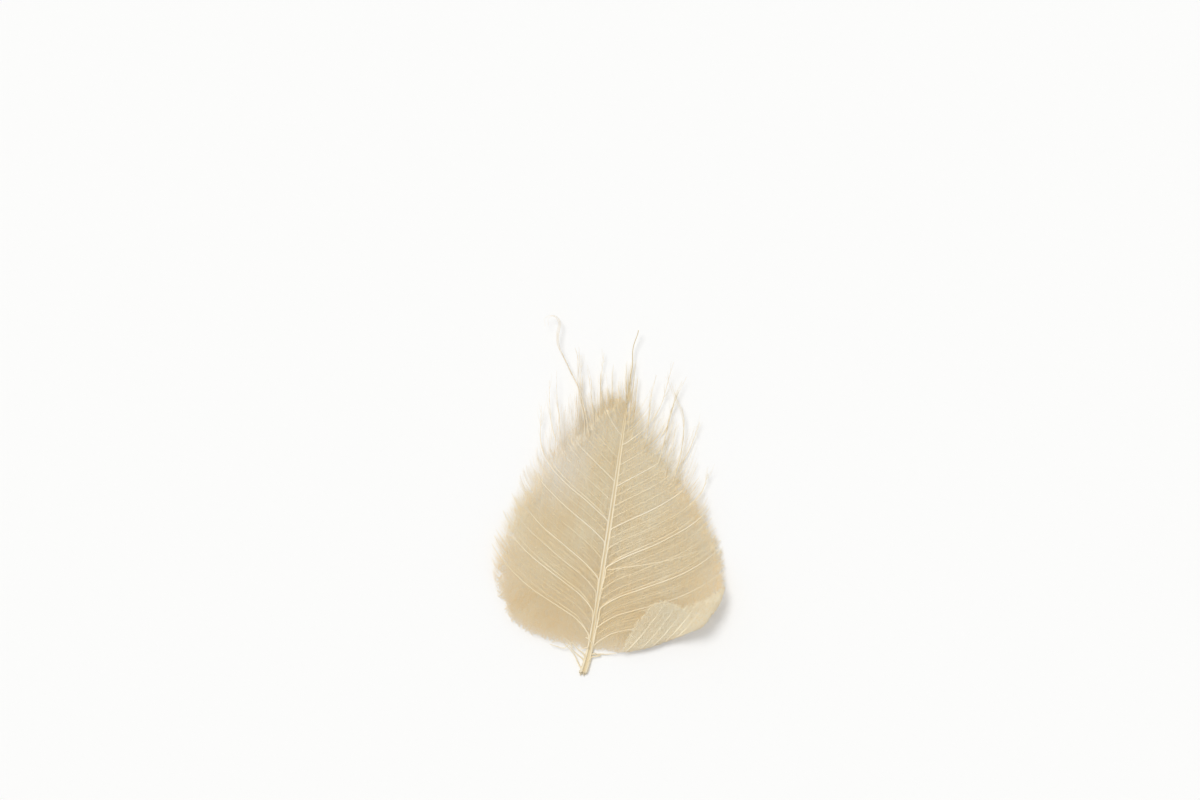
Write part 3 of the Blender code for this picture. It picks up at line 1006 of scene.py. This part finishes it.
FUZZ_HAIRS = 1700
FUZZ_RADIUS = (0.042, 0.02)
LONGER_HAIRS = 80
HAIR_RADIUS = (0.07, 0.03)
TOOTH_RADIUS = (0.085, 0.035)
TOOTH_POINTS = 11
# Rows, and the share of the fuzz that is left on them.
FUZZ_SHARE = {
    "right": ([0.06, 0.1, 0.16, 0.3, 0.5, 0.7, 0.85], [0.0, 0.15, 0.7, 0.9, 0.6, 0.55, 0.45]),
    "left": ([0.06, 0.1, 0.16, 0.3, 0.5, 0.7, 0.85], [0.0, 0.1, 0.35, 0.6, 0.7, 0.55, 0.8]),
}
# Each tooth's hairs: how many there are, the middle and half width of the tooth at its root and at its
# top, across the leaf, the height of the top, and how far the shorter hairs fall short of it.
TEETH = {
    "left": [
        (30, -10.0, 4.2, -12.8, 3.0, 122.5, 4.0),
        (20, -16.0, 3.8, -18.6, 3.0, 115.5, 5.0),
        (24, -23.0, 5.0, -26.0, 5.0, 120.0, 14.0),
        (14, -21.0, 2.4, -24.5, 1.6, 129.0, 12.0),
        (22, -31.0, 5.0, -32.5, 5.0, 112.0, 14.0),
        (18, -4.4, 3.2, -6.4, 2.8, 118.5, 5.0),
        (6, -13.5, 0.8, -16.4, 0.5, 130.0, 5.0),
        (7, -8.5, 0.9, -11.2, 0.4, 134.0, 7.0),
        (8, -5.0, 0.9, -7.4, 0.5, 129.0, 6.0),
        (16, -2.6, 0.9, -5.2, 0.7, 138.0, 12.0),
        (12, -0.9, 0.5, -3.0, 0.6, 141.0, 13.0),
    ],
    "right": [
        (14, 0.8, 0.5, -0.9, 0.6, 139.0, 12.0),
        (12, 2.6, 0.8, 1.2, 0.5, 131.0, 7.0),
        (12, 3.6, 3.0, 2.8, 2.6, 121.0, 8.0),
        (14, 10.0, 4.0, 11.0, 4.5, 122.0, 16.0),
        (16, 18.0, 5.0, 20.0, 5.5, 121.0, 18.0),
        (16, 27.0, 5.0, 30.0, 5.5, 114.0, 16.0),
    ],
}
# The longest strands, a few hairs thick. Each is a line of places, across and up the leaf, from where it
# is still held in the lace.
STRAND_RADIUS = (0.11, 0.06)
STRAND_HAIRS = 5
LONG_STRANDS = {
    "left": [
        [(-16.6, 98.0), (-19.5, 106.5), (-22.8, 114.6), (-26.3, 121.1), (-30.6, 127.0), (-34.4, 132.4),
         (-38.0, 137.6), (-39.4, 143.0), (-39.4, 148.4), (-42.2, 151.2), (-45.6, 149.4), (-45.0, 146.0)],
        [(-18.6, 98.0), (-20.6, 106.0), (-23.4, 114.0), (-25.6, 121.0), (-27.0, 128.0), (-27.8, 134.0),
         (-29.6, 138.6)],
        [(-15.2, 101.0), (-16.8, 108.6), (-18.6, 116.4), (-20.8, 124.0), (-23.8, 131.0)],
        [(-27.8, 88.0), (-30.6, 98.0), (-33.0, 107.6), (-36.0, 117.0), (-37.4, 126.4)],
    ],
    "right": [
        [(9.0, 94.0), (9.8, 102.0), (9.6, 112.0), (9.0, 122.0), (10.4, 131.6)],
        [(17.2, 90.0), (18.3, 101.0), (18.7, 112.0), (19.8, 122.7), (22.4, 133.5)],
        [(25.4, 84.0), (26.9, 95.0), (26.6, 106.0), (24.2, 116.6), (19.2, 124.0), (14.8, 131.8)],
    ],
}  # fmt: skip


def fringe_hair(fringe, side, row, length, radii, depth, dice):
    """One hair: it is held in the lace as far in as depth, and beyond the margin it bends to the tip.

    length is how far it stands out from the margin. Below zero, the hair ends short of it.
    """
    foot, end = plan(side, np.full(2, row), np.array([0.0, 1.0]))
    reach = np.linalg.norm(end - foot)
    root = max(0.02, 1 - depth / reach)
    ends = max(root + 0.05, 1 + min(length, 0) / reach - 0.01)
    line = on_blade(side, np.full(5, row), np.linspace(root, ends, 5)) + (0, 0, 0.05)
    if length > 0.4:
        steps = max(3, round(length / 1.4))
        share = np.arange(1, steps + 1) / steps
        turn_from = arriving_angle(side, row)
        turn_to = turn_from * dice.uniform(0.0, 0.8)
        degrees = turn_from + (turn_to - turn_from) * share
        free = np.cumsum(heading(degrees) * length / steps, axis=0) * (SIDE_SIGN[side], 1.0)
        rise = dice.uniform(-0.1, 0.25) * length * share**2
        free = line[-1] + np.column_stack([free, rise])
        free[:, 2] = np.maximum(free[:, 2], 0.25)
        line = softened(np.vstack([line, free]))
    fringe.add(line, taper(radii, len(line)), dice.uniform(0.6, 1.0), 3)


for side in ("left", "right"):
    chance = random.Random(SIDE_SEED[side] + 200)
    fringe = Bundle()
    for _ in range(FUZZ_HAIRS):
        row = chance.uniform(0.05, 0.97)
        if chance.random() > np.interp(row, *FUZZ_SHARE[side]):
            continue
        band = frayed_band(side, row)
        length = chance.uniform(0.4, 2.4) * (1 + smooth_step((row - 0.4) / 0.3))
        length -= chance.uniform(0.15, 1) * band * edge_loss(side, row)
        depth = 1.5 + band * chance.uniform(0.65, 1.15)
        fringe_hair(fringe, side, row, max(length, 1 - depth), FUZZ_RADIUS, depth, chance)
    for _ in range(LONGER_HAIRS):
        row = chance.uniform(0.5, 0.95)
        length = (3 + 6 * smooth_step((row - 0.5) / 0.3)) * chance.uniform(0.5, 1.3)
        depth = 2 + frayed_band(side, row) * chance.uniform(0.6, 1.1)
        fringe_hair(fringe, side, row, length, HAIR_RADIUS, depth, chance)

    # Each tooth of the comb: nearly parallel hairs, which lean out a little to their own side.
    margin_rows = np.linspace(0.5, 1, 90)
    margin_across, margin_height = plan(side, margin_rows, np.ones(90)).T
    order = np.argsort(margin_across)
    roots, tips = [], []
    for hairs, root_middle, root_half, tip_middle, tip_half, top, shortfall in TEETH[side]:
        for _ in range(hairs):
            place = chance.uniform(-1, 1)
            across = root_middle + place * root_half
            root_height = np.interp(across, margin_across[order], margin_height[order])
            band = frayed_band(side, np.interp(across, margin_across[order], margin_rows[order]))
            root_height -= 1 + band * chance.uniform(0.5, 1)
            roots.append((across, root_height))
            place += chance.uniform(-0.25, 0.25)
            up = top - shortfall * (abs(place) ** 1.5 * chance.uniform(0.6, 1.2) + chance.uniform(0, 0.5))
            tip_lift = 2.2 + chance.uniform(0, 0.05) * (up - root_height)
            tips.append((tip_middle + place * tip_half, up, tip_lift))
    row, out, _ = rows_under(side, np.array(roots))
    starts = np.column_stack([roots, lift(side, row, out) + 0.08])
    share = np.linspace(0, 1, TOOTH_POINTS)[:, None]
    for start, tip in zip(starts, np.array(tips)):
        line = start + (tip - start) * share
        bow = chance.uniform(-0.02, 0.02) * (tip[1] - start[1])
        line[:, 0] += bow * np.sin(math.pi * share[:, 0])
        fringe.add(line, taper(TOOTH_RADIUS, TOOTH_POINTS), chance.uniform(0.6, 1.0), 3)

    # The hairs of a long strand start as one and part on the way up, where some have broken off.
    wobble = np.random.default_rng(SIDE_SEED[side] + 300)
    for places in LONG_STRANDS[side]:
        row, out, _ = rows_under(side, np.array(places[:1]))
        foot_height = lift(side, row, out)[0] + 0.1
        steps = 6 * len(places)
        for i in range(STRAND_HAIRS):
            share = np.linspace(0, 1 if i == 0 else wobble.uniform(0.62, 1.0), steps)
            spots = spline_through(places, share)
            spots[:, 0] += wobble.uniform(-1.2, 1.2) * share**2
            spots += 0.25 * np.sin(share[:, None] * wobble.uniform(9, 15, 2) + wobble.uniform(0, 6, 2))
            height = foot_height + wobble.uniform(0.5, 1.5) * share
            fringe.add(np.column_stack([spots, height]), taper(STRAND_RADIUS, steps), 0.9, 3)
    piece = fringe.piece(f"{side}_fringe", net_fibre)
    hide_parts(f"{side}_blade")
    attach(piece, "root")

# ----------------------------------------------------------------------------------------------------
# The table, the light and the camera.
# A plain white table under an even white sky, with one broad, soft lamp from the upper left for the
# relief. The camera looks straight down, turned so that the leaf leans to the right.

# Lengths here are in metres.
TABLE_SIZE = 4.0
SKY_STRENGTH = 0.62
LAMP_SHARE = 0.38  # of the light on the table that the lamp gives
LAMP_TILT = math.radians(34)
LAMP_SPREAD = math.radians(24)
LAMP_SIDE = (-0.7, 0.71)  # from the upper left
VIEW_WIDTH = 0.565  # of the table that the camera sees
VIEW_CENTRE = (-0.0146, 0.1159)
LENS, SENSOR = 70.0, 36.0
LEAN = math.radians(9.5)

table_mesh = bpy.data.meshes.new("table")
half = TABLE_SIZE / 2
table_height = cad_box[0].z - 0.1 * MM
table_corners = [
    (x, y, table_height) for x, y in ((-half, -half), (half, -half), (half, half), (-half, half))
]
table_mesh.from_pydata(table_corners, [], [(0, 1, 2, 3)])
table = bpy.data.objects.new("table", table_mesh)
bpy.context.scene.collection.objects.link(table)
# Smooth white card: matte, with hardly a sheen.
card = bpy.data.materials.new("white_card")
card.use_nodes = True
card_shader = card.node_tree.nodes["Principled BSDF"]
card_shader.inputs["Base Color"].default_value = linear("#fcfcfb")
card_shader.inputs["Roughness"].default_value = 0.9
card_shader.inputs["Specular IOR Level"].default_value = 0.1
table_mesh.materials.append(card)

sky = bpy.data.worlds.new("sky")
bpy.context.scene.world = sky
sky.use_nodes = True
sky_tree = sky.node_tree
rays = add_node(sky_tree, "ShaderNodeLightPath")
seen = rays.outputs["Is Camera Ray"]
for kind in ("Is Glossy Ray", "Is Transmission Ray"):
    either = add_node(
        sky_tree, "ShaderNodeMath", {0: seen, 1: rays.outputs[kind]}, operation="MAXIMUM"
    )
    seen = either.outputs[0]
strength = add_node(
    sky_tree, "ShaderNodeMapRange", {"Value": seen, "To Min": SKY_STRENGTH, "To Max": 1.0}
)
background = sky_tree.nodes["Background"]
background.inputs["Color"].default_value = (1.0, 1.0, 1.0, 1.0)
sky_tree.links.new(strength.outputs[0], background.inputs["Strength"])

lamp_data = bpy.data.lights.new("soft_lamp", "SUN")
lamp_data.energy = LAMP_SHARE * math.pi / math.cos(LAMP_TILT)
lamp_data.angle = LAMP_SPREAD
lamp = bpy.data.objects.new("soft_lamp", lamp_data)
bpy.context.scene.collection.objects.link(lamp)
across, up = LAMP_SIDE
sideways = math.sin(LAMP_TILT)
towards_lamp = Vector((across * sideways, up * sideways, math.cos(LAMP_TILT)))
lamp.rotation_mode = "QUATERNION"
lamp.rotation_quaternion = towards_lamp.to_track_quat("Z", "Y")

camera_data = bpy.data.cameras.new("camera")
camera_data.lens = LENS
camera_data.sensor_width = SENSOR
camera = bpy.data.objects.new("camera", camera_data)
bpy.context.scene.collection.objects.link(camera)
camera.location = (*VIEW_CENTRE, VIEW_WIDTH * LENS / SENSOR)
camera.rotation_euler = (0.0, 0.0, LEAN)
bpy.context.scene.camera = camera
bpy.context.scene.view_settings.view_transform = "Standard"
